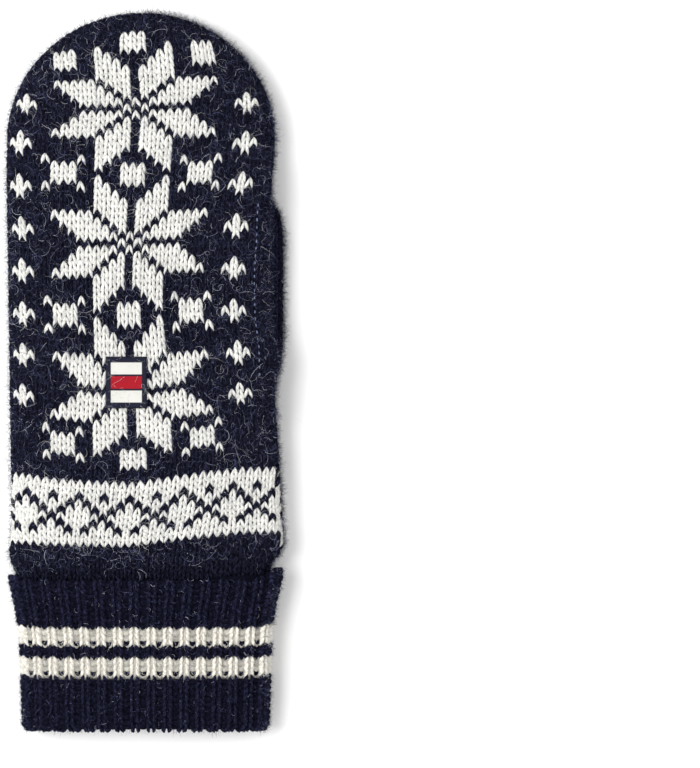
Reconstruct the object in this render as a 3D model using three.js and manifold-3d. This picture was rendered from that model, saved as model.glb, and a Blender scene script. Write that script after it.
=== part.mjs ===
// A left-hand knitted wool mitten lying palm down, in millimetres, +Z up.
// +Y runs from the folded wrist edge to the fingertip and +X points to the thumb's side.
// The origin is on the table, under the middle of the mitten.
import * as THREE from 'three';
import { mergeVertices } from 'three/addons/utils/BufferGeometryUtils.js';
import Module from 'manifold-3d';

const wasm = await Module();
wasm.setup();

// Hand: the patterned tube from the cuff's free edge to the fingertip
const handLength = 226;
const handWidth = 111.2; // across its widest part
const handHeight = 26.5; // as it lies, softly puffed
const handWall = 2.6; // two strands of wool, one floating behind the other
const tipLength = 50; // the rounded stretch at the fingertip
const handTuck = 6; // how far the hand reaches down inside the turned-up cuff

// Cuff: a ribbed tube turned up over itself, so it is two layers thick
const cuffLength = 62; // from the fold to the free edge
const cuffWidth = 111; // over the flared free edge
const cuffHeight = 26.5;
const thumbSideRise = 4.5; // how far the free edge climbs at the side under the thumb
const farSideRise = 1.5; // and at the other side
const riseStart = 42; // from the middle of the mitten
const cuffWall = 2.8;
const ribCount = 34;
const ribDepth = 1.1; // from the top of a rib to the bottom of its furrow

// Thumb: a plain tube sewn into the palm and folded flat under it
const thumbRoot = 60; // its seam, above the cuff's free edge
const thumbLength = 97;
const thumbWidth = 41.6;
const thumbHeight = 11;
const thumbWall = 2.4;
const thumbTip = 22; // the rounded stretch at its end
const thumbEdge = 55.2; // its outer edge, from the middle of the mitten
const rootLean = 6; // how far that edge draws in where the thumb leaves the palm
const rootRun = 36; // over this length

// Label: a small woven patch on the back of the hand
const labelWidth = 16.5;
const labelLength = 20.6;
const labelThickness = 1;
const labelAcross = -6.8; // its middle, from the middle of the mitten
const labelUp = 77.6; // its middle, above the cuff's free edge

// Clearances between pieces that touch on the real mitten
const seamGap = 0.3; // end to end, and under the label
const layerGap = 0.5; // between the cuff's two layers
const restGap = 0.5; // between the palm and the thumb folded under it

// How full and how flat a cross-section is
const fullness = 3; // exponent of the rounded outline: 2 is an ellipse, more is squarer
const settle = 1.6; // how far the soft underside is pressed flat by its own weight

// How finely the surfaces are faceted
const handSides = 48;
const thumbSides = 28;
const sidesPerRib = 4;
const evenness = 0.55; // 0 crowds the facets at the edges, 1 spreads them evenly

// Hand sections. at: share of handLength above the free edge. left, right: shares of half of
// handWidth. top, base: shares of handHeight.
const handTable = [
  { at: 0.0, left: -0.929, right: 0.895, top: 0.83, base: 0.14 },
  { at: 0.012, left: -0.944, right: 0.903, top: 0.86, base: 0.13 },
  { at: 0.024, left: -0.968, right: 0.913, top: 0.9, base: 0.12 },
  { at: 0.04, left: -0.979, right: 0.963, top: 0.94, base: 0.05 },
  { at: 0.06, left: -0.979, right: 0.998, top: 0.965, base: 0.0 },
  { at: 0.09, left: -0.967, right: 0.99, top: 0.97, base: 0.0 },
  { at: 0.15, left: -0.966, right: 0.978, top: 0.96, base: 0.0 },
  { at: 0.206, left: -0.969, right: 0.963, top: 0.97, base: 0.0 },
  { at: 0.26, left: -0.972, right: 0.949, top: 0.99, base: 0.0 },
  { at: 0.312, left: -0.975, right: 0.936, top: 1.0, base: 0.0 },
  { at: 0.344, left: -0.976, right: 0.943, top: 1.0, base: 0.0 },
  { at: 0.365, left: -0.977, right: 0.958, top: 1.0, base: 0.0 },
  { at: 0.385, left: -0.979, right: 0.97, top: 1.0, base: 0.0 },
  { at: 0.408, left: -0.98, right: 0.943, top: 0.99, base: 0.0 },
  { at: 0.433, left: -0.982, right: 0.909, top: 0.99, base: 0.0 },
  { at: 0.5, left: -0.986, right: 0.893, top: 0.98, base: 0.0 },
  { at: 0.62, left: -0.994, right: 0.899, top: 0.96, base: 0.0 },
  { at: 0.7, left: -1.0, right: 0.915, top: 0.93, base: 0.0 },
  { at: 0.78, left: -0.998, right: 0.932, top: 0.88, base: 0.0 },
  { at: 1.0, left: -0.98, right: 0.927, top: 0.78, base: 0.0 },
];

// Cuff sections. at: share of cuffLength above the fold. left, right: shares of half of
// cuffWidth. top: share of cuffHeight.
const cuffTable = [
  { at: 0.0, left: -0.897, right: 0.898, top: 0.87 },
  { at: 0.35, left: -0.911, right: 0.911, top: 0.88 },
  { at: 0.55, left: -0.919, right: 0.918, top: 0.89 },
  { at: 0.66, left: -0.929, right: 0.926, top: 0.91 },
  { at: 0.8, left: -0.955, right: 0.954, top: 0.95 },
  { at: 0.9, left: -0.98, right: 0.988, top: 0.985 },
  { at: 0.96, left: -0.994, right: 0.999, top: 1.0 },
  { at: 1.0, left: -0.988, right: 0.994, top: 0.995 },
];
const flareStart = 0.6; // share of cuffLength where the outer layer leaves the inner one

// The dent that the folded thumb presses into the palm. Shares of thumbHeight, as run lengths.
const dentSlope = 1.15; // beside the thumb
const dentRise = 0.9; // over the root
const dentRunOut = 1.3; // past the thumb's tip

const totalLength = cuffLength + handLength;
const foldY = -totalLength / 2;
const freeEdgeY = foldY + cuffLength;
const rimY = freeEdgeY - handTuck; // where hand and inner cuff meet
const tipY = freeEdgeY + handLength;
const thumbRootY = freeEdgeY + thumbRoot;
const thumbTipY = thumbRootY + thumbLength;

const mix = (a, b, t) => a + (b - a) * t;
const angleOf = (side, sides) => (2 * Math.PI * side) / sides;
const clamp = (v) => Math.min(1, Math.max(0, v));
const smooth = (v) => clamp(v) ** 2 * (3 - 2 * clamp(v));

// The table's values at a share, on a smooth curve through its rows
function rowAt(table, share) {
  const last = table.length - 1;
  const next = Math.min(last, Math.max(1, table.findIndex((row) => row.at >= share)));
  const i = share >= table[last].at ? last : next;
  const [p, a, b, n] = [table[Math.max(0, i - 2)], table[i - 1], table[i], table[Math.min(last, i + 1)]];
  const t = clamp((share - a.at) / (b.at - a.at));
  const row = {};
  for (const key of Object.keys(a)) {
    const slope = (lo, hi) => (hi.at > lo.at ? (hi[key] - lo[key]) / (hi.at - lo.at) : 0) * (b.at - a.at);
    row[key] =
      a[key] * (2 * t ** 3 - 3 * t ** 2 + 1) +
      slope(p, b) * (t ** 3 - 2 * t ** 2 + t) +
      b[key] * (3 * t ** 2 - 2 * t ** 3) +
      slope(a, n) * (t ** 3 - t ** 2);
  }
  return row;
}

const inset = (s, depth) => ({
  left: s.left + depth,
  right: s.right - depth,
  base: s.base + depth,
  top: s.top - depth,
});

// The cuff's outer envelope at a height above the fold
function cuffSection(up) {
  const row = rowAt(cuffTable, up / cuffLength);
  const half = cuffWidth / 2;
  return { left: row.left * half, right: row.right * half, base: 0, top: row.top * cuffHeight };
}

// The envelope of the inner layer, which doesn't flare
function wristSection(up) {
  return inset(cuffSection(Math.min(up, flareStart * cuffLength)), cuffWall + layerGap);
}

// The hand's outer envelope at y
function handSection(y) {
  const share = Math.max(0, (y - freeEdgeY) / handLength);
  const row = rowAt(handTable, share);
  const half = handWidth / 2;
  const own = {
    left: row.left * half,
    right: row.right * half,
    base: row.base * handHeight,
    top: row.top * handHeight,
  };
  if (y < freeEdgeY) {
    const wrist = wristSection(y - foldY);
    const t = smooth((y - rimY) / handTuck);
    for (const key of Object.keys(own)) own[key] = mix(wrist[key], own[key], t);
  }
  const round = clamp((y - (tipY - tipLength)) / tipLength);
  const narrow = Math.sqrt(1 - round ** 2);
  const thin = (1 - round ** 3.4) ** (1 / 3.4);
  const centre = (own.left + own.right) / 2;
  const middle = own.top * 0.46;
  return {
    left: mix(centre, own.left, narrow),
    right: mix(centre, own.right, narrow),
    base: mix(middle, own.base, thin),
    top: mix(middle, own.top, thin),
  };
}

// The folded thumb's outer envelope at y
function thumbSection(y) {
  const round = clamp((y - (thumbTipY - thumbTip)) / thumbTip);
  const narrow = (1 - round ** 2.3) ** (1 / 2.3);
  const thin = (1 - round ** 3) ** (1 / 3);
  const left = thumbEdge - thumbWidth;
  const right = thumbEdge - rootLean * (1 - smooth((y - thumbRootY) / rootRun));
  const centre = mix(left, thumbEdge, 0.56); // the tip leans to the outer side
  return {
    left: mix(centre, left, narrow),
    right: mix(centre, right, narrow),
    base: (thumbHeight / 2) * (1 - thin),
    top: (thumbHeight / 2) * (1 + thin),
  };
}

// How far the thumb lifts the palm at a place
function dent(x, y) {
  const lift = thumbHeight + restGap;
  const left = thumbEdge - thumbWidth + 0.1 * thumbHeight;
  const beside = smooth((x - (left - dentSlope * thumbHeight)) / (dentSlope * thumbHeight));
  const rise = smooth((y - thumbRootY) / (dentRise * thumbHeight));
  const runOut = smooth((thumbTipY + dentRunOut * thumbHeight - y) / (dentRunOut * thumbHeight));
  return lift * beside * rise * runOut;
}

// A point of a section's outline. pressed: its underside lies flat on the table.
function ringPoint(section, angle, y, lift = () => 0, pressed = settle) {
  const c = Math.cos(angle);
  const s = Math.sin(angle);
  const round = (v) => Math.sign(v) * Math.abs(v) ** (2 / fullness);
  const centre = (section.left + section.right) / 2;
  const x = centre + ((section.right - section.left) / 2) * round(c);
  const base = section.base + Math.min(lift(x, y), (section.top - section.base) * 0.55);
  const half = (section.top - base) / 2;
  const reach = s < 0 ? half + pressed * clamp(half / 4) : half;
  return new THREE.Vector3(x, y, Math.max(base, base + half + reach * round(s)));
}

const handPoint = (angle, y) => ringPoint(handSection(y), angle, y, dent);
const thumbPoint = (angle, y) => ringPoint(thumbSection(y), angle, y, undefined, settle / 2);

// A point at a depth under a surface, measured square to it. flatAt: an end that stays flat.
function under(point, depth, angle, y, flatAt) {
  const step = 0.01;
  const p = point(angle, y);
  const along = point(angle, Math.min(y + 10 * step, tipY)).sub(point(angle, y - 10 * step));
  const around = point(angle + step, y).sub(point(angle - step, y));
  const out = along.cross(around).normalize();
  const moved = p.addScaledVector(out, -depth);
  if (y <= flatAt) moved.y = y;
  return moved;
}

// A closed mesh as a solid that can be cut and joined
function solidOf(geometry) {
  const bare = new THREE.BufferGeometry().setIndex(geometry.index);
  bare.setAttribute('position', geometry.getAttribute('position'));
  const merged = mergeVertices(bare, 1e-4);
  const kept = [];
  const index = merged.index.array;
  for (let i = 0; i < index.length; i += 3) {
    const [a, b, c] = index.slice(i, i + 3);
    if (a !== b && b !== c && c !== a) kept.push(a, b, c);
  }
  const vertProperties = merged.getAttribute('position').array;
  return new wasm.Manifold(new wasm.Mesh({ numProp: 3, vertProperties, triVerts: new Uint32Array(kept) }));
}

// The main body that a cut leaves, without the crumbs at its corners
function mainBody(solid) {
  return solid.decompose().reduce((best, body) => (body.volume() > best.volume() ? body : best));
}

function geometryOf(solid) {
  const mesh = solid.getMesh();
  const geometry = new THREE.BufferGeometry();
  geometry.setAttribute('position', new THREE.BufferAttribute(mesh.vertProperties, 3));
  geometry.setIndex(new THREE.BufferAttribute(mesh.triVerts, 1));
  geometry.computeVertexNormals();
  return geometry;
}

// A lathe of stations, each of whose vertices is then moved to its place. A station with
// pole lies on the axis, and a profile whose ends are both off the axis closes on itself.
function skin(stations, sides, place) {
  const profile = stations.map((station, j) => new THREE.Vector2(station.pole ? 0 : 1, j));
  const lathe = new THREE.LatheGeometry(profile, sides);
  const at = lathe.getAttribute('position');
  for (let k = 0; k < at.count; k++) {
    const side = Math.floor(k / stations.length) % sides;
    const p = place(side, stations[k % stations.length]);
    at.setXYZ(k, p.x, p.y, p.z);
  }
  return solidOf(lathe);
}

// Angles round a section. even: 1 divides its outline into equal lengths, 0 its angles.
function ringAngles(section, count, even) {
  const fine = 2000;
  const lengths = [0];
  for (let i = 1; i <= fine; i++) {
    const from = ringPoint(section, angleOf(i - 1, fine), 0);
    lengths.push(lengths[i - 1] + from.distanceTo(ringPoint(section, angleOf(i, fine), 0)));
  }
  return Array.from({ length: count }, (_, k) => {
    const target = (lengths[fine] * k) / count;
    const spread = angleOf(lengths.findIndex((length) => length >= target), fine);
    return mix(angleOf(k, count), spread, even);
  });
}

// Heights up a closed tube: even steps, then steps that crowd towards the rounded tip
function tubeHeights(from, tip, round, evenSteps, roundSteps) {
  const heights = [];
  for (let i = 0; i < evenSteps; i++) heights.push(mix(from, tip - round, i / evenSteps));
  for (let i = 0; i < roundSteps; i++) {
    heights.push(tip - round + round * Math.sin((i / roundSteps) * (Math.PI / 2)));
  }
  return heights;
}

// The hand's outer heights, closer where the wrist bulges and round the thumb's dent
function handHeights() {
  const bulge = [0, 0.5, 1].map((t) => mix(rimY, freeEdgeY, t));
  const wrist = [0.012, 0.024, 0.04, 0.06, 0.15].map((t) => freeEdgeY + t * handLength);
  const root = [0, 0.25, 0.5, 0.75, 1, 1.6].map((t) => thumbRootY + t * dentRise * thumbHeight);
  const beside = [0.22, 0.27, 0.33, 0.45, 0.7].map((t) => mix(thumbRootY, thumbTipY, t));
  const runOut = [0, 0.3, 0.6, 1].map((t) => thumbTipY + t * dentRunOut * thumbHeight);
  const end = tubeHeights(tipY - tipLength, tipY, tipLength, 0, 9);
  const heights = [...bulge, ...wrist, ...root, ...beside, ...runOut, ...end];
  heights.sort((a, b) => a - b);
  return heights.filter((y, i) => i === 0 || y - heights[i - 1] > 0.5);
}

function buildHand() {
  const angles = ringAngles(handSection(tipY - tipLength), handSides, evenness);
  const outer = handHeights();
  const bent = (y) => Math.abs(y - thumbRootY) < thumbHeight || Math.abs(y - thumbTipY) < 2 * thumbHeight;
  const inner = outer.filter((y, i) => i === 0 || i % 2 === 1 || bent(y));
  const outerWall = [{ pole: true, y: tipY, depth: 0 }, ...outer.toReversed().map((y) => ({ y, depth: 0 }))];
  const innerWall = [...inner.map((y) => ({ y, depth: handWall })), { pole: true, y: tipY, depth: handWall }];
  const place = (side, { y, depth, pole }) => {
    if (pole) return handPoint(0, tipY).setY(tipY - depth);
    return depth ? under(handPoint, depth, angles[side], y, rimY) : handPoint(angles[side], y);
  };
  const shell = skin([...outerWall, ...innerWall], handSides, place);
  const rim = { pole: true, y: rimY, depth: handWall, floor: true };
  const hollow = skin([...innerWall.toReversed(), rim], handSides, (side, station) =>
    station.floor ? new THREE.Vector3(0, rimY, handHeight / 2) : place(side, station),
  );
  return { shell, hollow };
}

function buildThumb() {
  const angles = ringAngles(thumbSection(thumbRootY), thumbSides, evenness);
  const outer = tubeHeights(thumbRootY, thumbTipY, thumbTip, 8, 8);
  const inner = outer.filter((y, i) => i % 2 === 0);
  const shellStations = [
    { pole: true, y: thumbTipY, depth: 0 },
    ...outer.toReversed().map((y) => ({ y, depth: 0 })),
    ...inner.map((y) => ({ y, depth: thumbWall })),
    { pole: true, y: thumbTipY, depth: thumbWall },
  ];
  const place = (side, { y, depth, pole }) => {
    if (pole) return thumbPoint(0, thumbTipY).setY(thumbTipY - depth);
    return depth ? under(thumbPoint, depth, angles[side], y, thumbRootY) : thumbPoint(angles[side], y);
  };
  const shell = skin(shellStations, thumbSides, place);
  // The thumb's own outline grown by the seam's gap, which makes its seat in the palm
  const grown = [...outer.toReversed().map((y) => ({ y })), { pole: true, y: thumbRootY }];
  const seat = skin([{ pole: true, y: thumbTipY }, ...grown], thumbSides, (side, { y, pole }) => {
    const atRoot = pole && y === thumbRootY;
    if (atRoot) return new THREE.Vector3(thumbEdge - thumbWidth / 2, thumbRootY - seamGap, thumbHeight / 2);
    if (pole) return thumbPoint(0, thumbTipY).setY(thumbTipY + seamGap);
    const p = under(thumbPoint, -seamGap, angles[side], y, thumbRootY);
    return y === thumbRootY ? p.setY(thumbRootY - seamGap) : p;
  });
  return { shell, seat };
}

// How far the cuff's free edge climbs at a place across it
function edgeRise(x) {
  const run = cuffWidth / 2 - riseStart;
  return thumbSideRise * smooth((x - riseStart) / run) + farSideRise * smooth((-x - riseStart) / run);
}

function buildCuff() {
  const sides = ribCount * sidesPerRib;
  const angles = ringAngles(cuffSection(cuffLength / 2), sides, 1);
  const bend = cuffWall + layerGap / 2; // outer radius of the fold
  const edge = cuffWall / 2;
  const innerTop = cuffLength - handTuck - seamGap;
  // Once round the wall: up the outer face, over the free edge, down between the layers,
  // up to the seam with the hand, and down the inner face to the fold
  const stations = [
    { up: bend, depth: 0, rib: 1 },
    ...[0.35, 0.66, 0.84].map((t) => ({ up: t * cuffLength, depth: 0, rib: 1 })),
    { up: cuffLength - edge, depth: 0, rib: 0.8 },
    { up: cuffLength, depth: edge, rib: 0 },
    { up: cuffLength - edge, depth: cuffWall, rib: 0 },
    ...[0.8, 0.6].map((t) => ({ up: t * cuffLength, depth: cuffWall, rib: 0 })),
    { up: bend, depth: cuffWall, rib: 0 },
    { up: bend, depth: cuffWall + layerGap, inner: true, rib: 0 },
    { up: innerTop, depth: cuffWall + layerGap, inner: true, rib: 0 },
    { up: innerTop, depth: 2 * cuffWall + layerGap, inner: true, rib: 0 },
    { up: 0.4 * cuffLength, depth: 2 * cuffWall + layerGap, inner: true, rib: -0.6 },
    { up: bend, depth: 2 * cuffWall + layerGap, inner: true, rib: -0.6 },
    { up: 0.3 * bend, depth: 1.7 * bend, rib: -0.4 },
    { up: 0, depth: bend, rib: 0.3 },
    { up: 0.3 * bend, depth: 0.3 * bend, rib: 0.8 },
    { up: bend, depth: 0, rib: 1 },
  ];
  return skin(stations.toReversed(), sides, (side, { up, depth, inner, rib }) => {
    const furrow = (1 + Math.cos(angleOf(side, sidesPerRib))) / 2;
    const wave = rib > 0 ? rib * ribDepth * (1 - furrow) : rib * ribDepth * furrow;
    const envelope = inner ? cuffSection(Math.min(up, flareStart * cuffLength)) : cuffSection(up);
    const section = inset(envelope, depth + wave);
    const p = ringPoint(section, angles[side], foldY + up);
    if (!inner) p.y += edgeRise(p.x) * (up / cuffLength) ** 3;
    return p;
  });
}

// The back's height at a place, on the smooth surface
function backHeight(x, y) {
  const section = handSection(y);
  const half = (section.right - section.left) / 2;
  const across = Math.abs(x - (section.left + section.right) / 2) / half;
  const middle = (section.top + section.base) / 2;
  return middle + (section.top - middle) * (1 - across ** fullness) ** (1 / fullness);
}

function buildLabel() {
  const patch = new THREE.BoxGeometry(labelWidth, labelLength, labelThickness, 4, 4, 1);
  patch.translate(labelAcross, freeEdgeY + labelUp, labelThickness / 2 + seamGap);
  const at = patch.getAttribute('position');
  for (let k = 0; k < at.count; k++) at.setZ(k, at.getZ(k) + backHeight(at.getX(k), at.getY(k)));
  return solidOf(patch);
}

const wool = {
  navy: new THREE.MeshStandardMaterial({ color: 0x22243a, roughness: 0.95, metalness: 0 }),
  plainNavy: new THREE.MeshStandardMaterial({ color: 0x1e2034, roughness: 0.95, metalness: 0 }),
  ribbed: new THREE.MeshStandardMaterial({ color: 0x1c1e32, roughness: 0.95, metalness: 0 }),
  woven: new THREE.MeshStandardMaterial({ color: 0x23263f, roughness: 0.7, metalness: 0 }),
};

function pieceOf(name, solid, material) {
  const mesh = new THREE.Mesh(geometryOf(solid), material);
  mesh.name = name;
  return mesh;
}

const hand = buildHand();
const thumb = buildThumb();
const mitten = new THREE.Group();
mitten.add(
  pieceOf('hand', mainBody(hand.shell.subtract(thumb.seat)), wool.navy),
  pieceOf('thumb', mainBody(thumb.shell.subtract(hand.hollow)), wool.plainNavy),
  pieceOf('cuff', buildCuff(), wool.ribbed),
  pieceOf('label', buildLabel(), wool.woven),
);

export default mitten;
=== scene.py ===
import math

import bmesh
import bpy
import numpy as np
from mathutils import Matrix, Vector


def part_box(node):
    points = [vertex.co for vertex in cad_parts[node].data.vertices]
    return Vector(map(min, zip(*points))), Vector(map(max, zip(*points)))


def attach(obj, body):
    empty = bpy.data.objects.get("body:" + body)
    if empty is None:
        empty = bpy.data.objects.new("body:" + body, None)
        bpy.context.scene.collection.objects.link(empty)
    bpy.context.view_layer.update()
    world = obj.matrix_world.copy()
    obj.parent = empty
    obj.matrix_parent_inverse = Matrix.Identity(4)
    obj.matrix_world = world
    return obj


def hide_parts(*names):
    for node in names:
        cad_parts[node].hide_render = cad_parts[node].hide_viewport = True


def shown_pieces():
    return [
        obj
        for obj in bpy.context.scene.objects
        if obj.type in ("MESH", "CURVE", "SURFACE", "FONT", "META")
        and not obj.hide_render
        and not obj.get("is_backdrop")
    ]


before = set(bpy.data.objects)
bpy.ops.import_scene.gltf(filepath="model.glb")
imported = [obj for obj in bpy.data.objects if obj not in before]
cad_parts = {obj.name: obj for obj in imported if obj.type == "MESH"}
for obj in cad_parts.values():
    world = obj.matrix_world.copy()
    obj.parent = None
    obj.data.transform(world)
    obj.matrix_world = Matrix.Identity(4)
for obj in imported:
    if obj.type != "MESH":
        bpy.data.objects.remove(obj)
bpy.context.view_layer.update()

# Lengths below are in millimetres, and every mesh is made in metres
mm = 0.001
rng = np.random.default_rng(7)


def tableOf(columns, *rows):
    # A table whose rows give their values under the columns' names
    return [dict(zip(columns.split(), row)) for row in rows]


def boxOf(node):
    low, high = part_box(node)
    return np.array(low) / mm, np.array(high) / mm


handLow, handHigh = boxOf("hand")
cuffLow, cuffHigh = boxOf("cuff")
thumbLow, thumbHigh = boxOf("thumb")
labelLow, labelHigh = boxOf("label")


# The form, as in the model: sections whose widths and heights follow named sizes.
# Narrowing and thinning are powers: the higher, the squarer a tip.

form = {
    "handWall": 2.6,
    "handTuck": 6.0,
    "tipLength": 50.0,
    "tipNarrowing": 2.0,
    "tipThinning": 3.4,
    "tipMiddle": 0.46,
    "fullness": 3.0,
    "settle": 1.6,
    "cuffWall": 2.8,
    "layerGap": 0.5,
    "ribCount": 34,
    "ribDepth": 1.1,
    "flareStart": 0.6,
    "thumbTip": 22.0,
    "thumbNarrowing": 2.3,
    "thumbThinning": 3.0,
    "thumbMiddle": 0.56,
    "rootLean": 6.0,
    "rootRun": 36.0,
    "thumbSideRise": 4.5,
    "farSideRise": 1.5,
    "riseStart": 42.0,
    "thumbWall": 2.4,
    "restGap": 0.5,
    "dentSlope": 1.15,
    "dentRise": 0.9,
    "dentRunOut": 1.3,
    "dentShare": 0.55,
}

handTable = tableOf(
    "at left right top base",
    (0.0, -0.929, 0.895, 0.83, 0.14),
    (0.012, -0.944, 0.903, 0.86, 0.13),
    (0.024, -0.968, 0.913, 0.9, 0.12),
    (0.04, -0.979, 0.963, 0.94, 0.05),
    (0.06, -0.979, 0.998, 0.965, 0.0),
    (0.09, -0.967, 0.99, 0.97, 0.0),
    (0.15, -0.966, 0.978, 0.96, 0.0),
    (0.206, -0.969, 0.963, 0.97, 0.0),
    (0.26, -0.972, 0.949, 0.99, 0.0),
    (0.312, -0.975, 0.936, 1.0, 0.0),
    (0.344, -0.976, 0.943, 1.0, 0.0),
    (0.365, -0.977, 0.958, 1.0, 0.0),
    (0.385, -0.979, 0.97, 1.0, 0.0),
    (0.408, -0.98, 0.943, 0.99, 0.0),
    (0.433, -0.982, 0.909, 0.99, 0.0),
    (0.5, -0.986, 0.893, 0.98, 0.0),
    (0.62, -0.994, 0.899, 0.96, 0.0),
    (0.7, -1.0, 0.915, 0.93, 0.0),
    (0.78, -0.998, 0.932, 0.88, 0.0),
    (1.0, -0.98, 0.927, 0.78, 0.0),
)

cuffTable = tableOf(
    "at left right top",
    (0.0, -0.897, 0.898, 0.87),
    (0.35, -0.911, 0.911, 0.88),
    (0.55, -0.919, 0.918, 0.89),
    (0.66, -0.929, 0.926, 0.91),
    (0.8, -0.955, 0.954, 0.95),
    (0.9, -0.98, 0.988, 0.985),
    (0.96, -0.994, 0.999, 1.0),
    (1.0, -0.988, 0.994, 0.995),
)

foldY = cuffLow[1]
freeEdgeY = cuffHigh[1] - form["thumbSideRise"]
cuffLength = freeEdgeY - foldY
tipY = handHigh[1]
handLength = tipY - freeEdgeY
rimY = freeEdgeY - form["handTuck"]
handHalf = (handHigh[0] - handLow[0]) / 2
handHeight = handHigh[2]
cuffHalf = (cuffHigh[0] - cuffLow[0]) / 2
cuffHeight = cuffHigh[2]
thumbRootY = thumbLow[1]
thumbTipY = thumbHigh[1]
thumbHeight = thumbHigh[2]


def mix(a, b, t):
    return a + (b - a) * t


def smooth(v):
    v = np.clip(v, 0, 1)
    return v * v * (3 - 2 * v)


def unit(vectors):
    return vectors / np.maximum(np.linalg.norm(vectors, axis=-1, keepdims=True), 1e-9)


def tapered(rounding, power):
    # Falls from 1 to 0 round a tip
    return (1 - rounding**power) ** (1 / power)


def curve(table, column, share):
    # A table's column at a share, on a smooth curve through its rows
    at = np.array([row["at"] for row in table])
    value = np.array([row[column] for row in table])
    before = np.maximum(np.arange(len(at)) - 1, 0)
    after = np.minimum(np.arange(len(at)) + 1, len(at) - 1)
    slope = (value[after] - value[before]) / (at[after] - at[before])
    share = np.clip(share, at[0], at[-1])
    i = np.clip(np.searchsorted(at, share, side="right") - 1, 0, len(at) - 2)
    span = at[i + 1] - at[i]
    t = (share - at[i]) / span
    bend = slope[i] * span * (t**3 - 2 * t**2 + t) + slope[i + 1] * span * (t**3 - t**2)
    return value[i] * (2 * t**3 - 3 * t**2 + 1) + value[i + 1] * (3 * t**2 - 2 * t**3) + bend


def inset(section, depth):
    return {
        "left": section["left"] + depth,
        "right": section["right"] - depth,
        "base": section["base"] + depth,
        "top": section["top"] - depth,
    }


def cuffSection(up):
    share = up / cuffLength
    return {
        "left": curve(cuffTable, "left", share) * cuffHalf,
        "right": curve(cuffTable, "right", share) * cuffHalf,
        "base": 0 * share,
        "top": curve(cuffTable, "top", share) * cuffHeight,
    }


def wristSection(up):
    depth = form["cuffWall"] + form["layerGap"]
    return inset(cuffSection(np.minimum(up, form["flareStart"] * cuffLength)), depth)


def handSection(y):
    share = np.maximum(0, (y - freeEdgeY) / handLength)
    own = {
        "left": curve(handTable, "left", share) * handHalf,
        "right": curve(handTable, "right", share) * handHalf,
        "base": curve(handTable, "base", share) * handHeight,
        "top": curve(handTable, "top", share) * handHeight,
    }
    wrist = wristSection(np.minimum(y, freeEdgeY) - foldY)
    t = smooth((y - rimY) / form["handTuck"])
    for key in own:
        own[key] = mix(wrist[key], own[key], t)
    rounding = np.clip((y - (tipY - form["tipLength"])) / form["tipLength"], 0, 1)
    narrow = tapered(rounding, form["tipNarrowing"])
    thin = tapered(rounding, form["tipThinning"])
    centre = (own["left"] + own["right"]) / 2
    middle = own["top"] * form["tipMiddle"]
    return {
        "left": mix(centre, own["left"], narrow),
        "right": mix(centre, own["right"], narrow),
        "base": mix(middle, own["base"], thin),
        "top": mix(middle, own["top"], thin),
    }


def thumbSection(y):
    rounding = np.clip((y - (thumbTipY - form["thumbTip"])) / form["thumbTip"], 0, 1)
    narrow = tapered(rounding, form["thumbNarrowing"])
    thin = tapered(rounding, form["thumbThinning"])
    centre = mix(thumbLow[0], thumbHigh[0], form["thumbMiddle"])
    right = thumbHigh[0] - form["rootLean"] * (1 - smooth((y - thumbRootY) / form["rootRun"]))
    return {
        "left": mix(centre, thumbLow[0], narrow),
        "right": mix(centre, right, narrow),
        "base": (thumbHeight / 2) * (1 - thin),
        "top": (thumbHeight / 2) * (1 + thin),
    }


def dent(x, y):
    # How far the folded thumb lifts the palm
    left = thumbLow[0] + 0.1 * thumbHeight
    slope = form["dentSlope"] * thumbHeight
    rise = form["dentRise"] * thumbHeight
    runOut = form["dentRunOut"] * thumbHeight
    lift = (thumbHeight + form["restGap"]) * smooth((x - (left - slope)) / slope)
    return lift * smooth((y - thumbRootY) / rise) * smooth((thumbTipY + runOut - y) / runOut)


def noLift(x, y):
    return 0 * x


def halves(section, x, y, lift, pressed):
    # A section's base, its half height and how far its two halves reach from its middle
    tallest = (section["top"] - section["base"]) * form["dentShare"]
    base = section["base"] + np.minimum(lift(x, y), tallest)
    tall = (section["top"] - base) / 2
    return base, tall, tall + pressed * np.clip(tall / 4, 0, 1)


def ringPoint(section, angle, y, lift=noLift, pressed=form["settle"]):
    # A point of a section's outline, whose underside lies flat on the table
    c = np.cos(angle)
    s = np.sin(angle)
    power = 2 / form["fullness"]
    centre = (section["left"] + section["right"]) / 2
    half = (section["right"] - section["left"]) / 2
    x = centre + half * np.sign(c) * np.abs(c) ** power
    base, tall, deep = halves(section, x, y, lift, pressed)
    reach = np.where(s < 0, deep, tall)
    z = np.maximum(base, base + tall + reach * np.sign(s) * np.abs(s) ** power)
    return np.stack(np.broadcast_arrays(x, y, z), axis=-1)


def handPoint(angle, y):
    return ringPoint(handSection(y), angle, y, dent)


def thumbPoint(angle, y):
    return ringPoint(thumbSection(y), angle, y, noLift, form["settle"] / 2)


def surfaceHeight(sectionOf, x, y, side, lift=noLift, pressed=form["settle"]):
    # The height of a form's top (side 1) or underside (side -1) over a place
    section = sectionOf(y)
    centre = (section["left"] + section["right"]) / 2
    half = np.maximum((section["right"] - section["left"]) / 2, 1e-6)
    across = np.clip(np.abs(x - centre) / half, 0, 1)
    base, tall, deep = halves(section, x, y, lift, pressed)
    reach = tall if side > 0 else deep
    return np.maximum(base, base + tall + side * reach * tapered(across, form["fullness"]))


def ringAngles(section, count):
    # Angles that divide a section's outline into equal lengths
    fine = np.linspace(0, 2 * math.pi, 2001)
    points = ringPoint(section, fine, 0 * fine)
    length = np.append(0, np.cumsum(np.linalg.norm(np.diff(points, axis=0), axis=1)))
    return np.interp(np.arange(count) * length[-1] / count, length, fine)


# Cloth: knitted columns and rows laid over a form


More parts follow.
